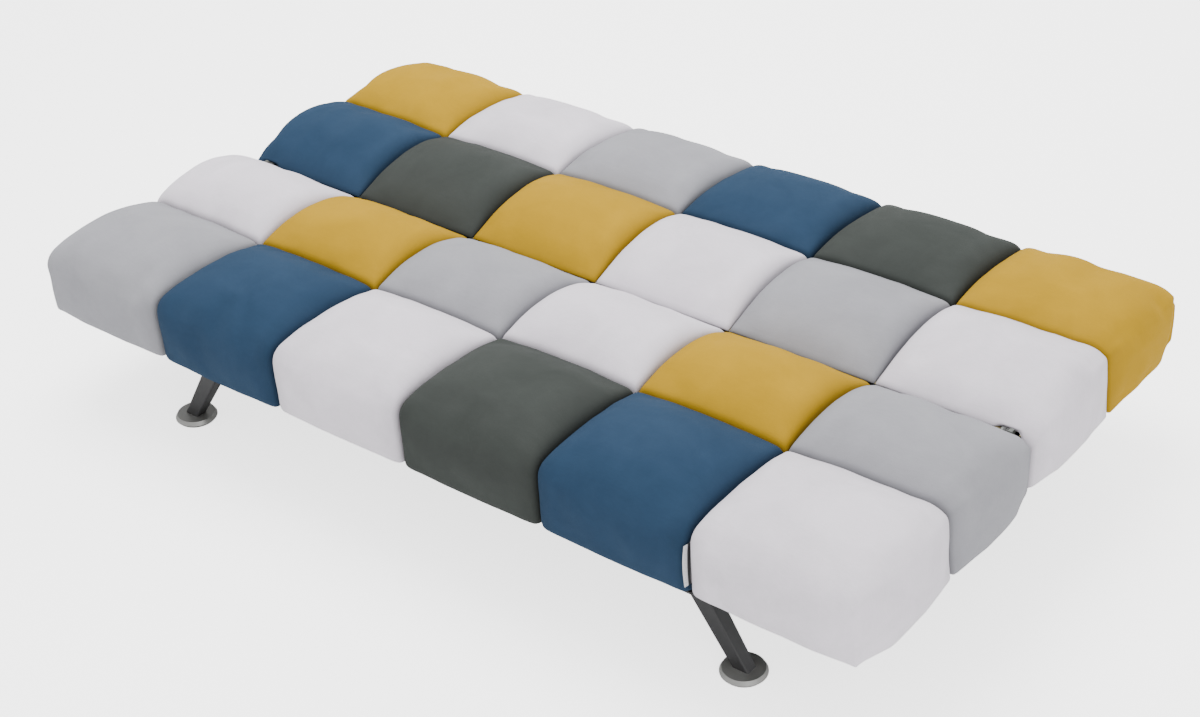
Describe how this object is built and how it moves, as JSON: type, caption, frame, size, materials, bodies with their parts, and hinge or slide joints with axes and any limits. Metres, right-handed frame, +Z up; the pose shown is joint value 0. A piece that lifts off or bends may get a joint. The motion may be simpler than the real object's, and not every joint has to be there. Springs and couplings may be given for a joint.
{
  "type": "sofa bed",
  "caption": "Patchwork sofa bed with a seat half and a backrest half on ratchet hinges, over a steel base with splayed legs, shown flat as a bed.",
  "frame": {"origin": "on the floor under the centre of the flat bed", "axes": "+X along the length to the right as seen from the front, -Y the front edge with the seat half, +Z up"},
  "size_m": [1.83, 1.0984, 0.3639],
  "materials": {
    "cloth_blue": "matte",
    "cloth_dark": "matte",
    "cloth_yellow": "matte",
    "cloth_light": "matte",
    "cloth_grey": "matte",
    "lining_black": "matte",
    "foam_block": "matte",
    "felt": "matte",
    "timber": "matte",
    "graphite_steel": "satin",
    "bright_steel": "polished",
    "zinc_steel": "satin",
    "spring_steel": "satin",
    "black_rubber": "matte",
    "black_plastic": "matte",
    "tag_cloth": "matte"
  },
  "bodies": {
    "seat": {"backrest_bumpers": "black_rubber", "base_bolts": "zinc_steel", "base_cross_rail_front": "graphite_steel", "base_cross_rail_rear": "graphite_steel", "base_end_caps": "black_plastic", "base_side_rail_left": "graphite_steel", "base_side_rail_right": "graphite_steel", "base_spacers": "graphite_steel", "foot_discs": "bright_steel", "foot_glides": "black_rubber", "hinge_pawl_pins": "zinc_steel", "hinge_pivot_bolts": "zinc_steel", "hinge_pivot_nuts": "zinc_steel", "hinge_seat_arm_left": "graphite_steel", "hinge_seat_arm_right": "graphite_steel", "hinge_seat_screws": "zinc_steel", "hinge_washers": "zinc_steel", "leg_front_left": "graphite_steel", "leg_front_right": "graphite_steel", "leg_plates": "graphite_steel", "leg_rear_left": "graphite_steel", "leg_rear_right": "graphite_steel", "seat_braces": "timber", "seat_dust_cover": "lining_black", "seat_end_rails": "timber", "seat_foam": "foam_block", "seat_inner_lining": "lining_black", "seat_inner_rail": "timber", "seat_outer_rail": "timber", "seat_patches_blue": "cloth_blue", "seat_patches_dark": "cloth_dark", "seat_patches_grey": "cloth_grey", "seat_patches_light": "cloth_light", "seat_patches_yellow": "cloth_yellow", "seat_spring_clips": "zinc_steel", "seat_spring_felt": "felt", "seat_springs": "spring_steel", "side_tag": "tag_cloth"},
    "backrest": {"backrest_braces": "timber", "backrest_dust_cover": "lining_black", "backrest_end_rails": "timber", "backrest_foam": "foam_block", "backrest_inner_lining": "lining_black", "backrest_inner_rail": "timber", "backrest_outer_rail": "timber", "backrest_patches_blue": "cloth_blue", "backrest_patches_dark": "cloth_dark", "backrest_patches_grey": "cloth_grey", "backrest_patches_light": "cloth_light", "backrest_patches_yellow": "cloth_yellow", "backrest_spring_clips": "zinc_steel", "backrest_spring_felt": "felt", "backrest_springs": "spring_steel", "hinge_back_arm_left": "graphite_steel", "hinge_back_arm_right": "graphite_steel", "hinge_back_screws": "zinc_steel"},
    "pawl_left": {"hinge_pawl_left": "zinc_steel", "hinge_pawl_spring_left": "spring_steel"},
    "pawl_right": {"hinge_pawl_right": "zinc_steel", "hinge_pawl_spring_right": "spring_steel"}
  },
  "joints": [
    {"name": "backrest_fold", "type": "hinge", "parent": "seat", "child": "backrest", "pos_m": [0, 0, 0.292], "axis": [1, 0, 0], "range_deg": [0, 80]},
    {"name": "pawl_left_drop", "type": "hinge", "parent": "seat", "child": "pawl_left", "pos_m": [-0.8488, -0.034, 0.254], "axis": [1, 0, 0], "range_deg": [0, 8]},
    {"name": "pawl_right_drop", "type": "hinge", "parent": "seat", "child": "pawl_right", "pos_m": [0.8488, -0.034, 0.254], "axis": [1, 0, 0], "range_deg": [0, 8]}
  ]
}
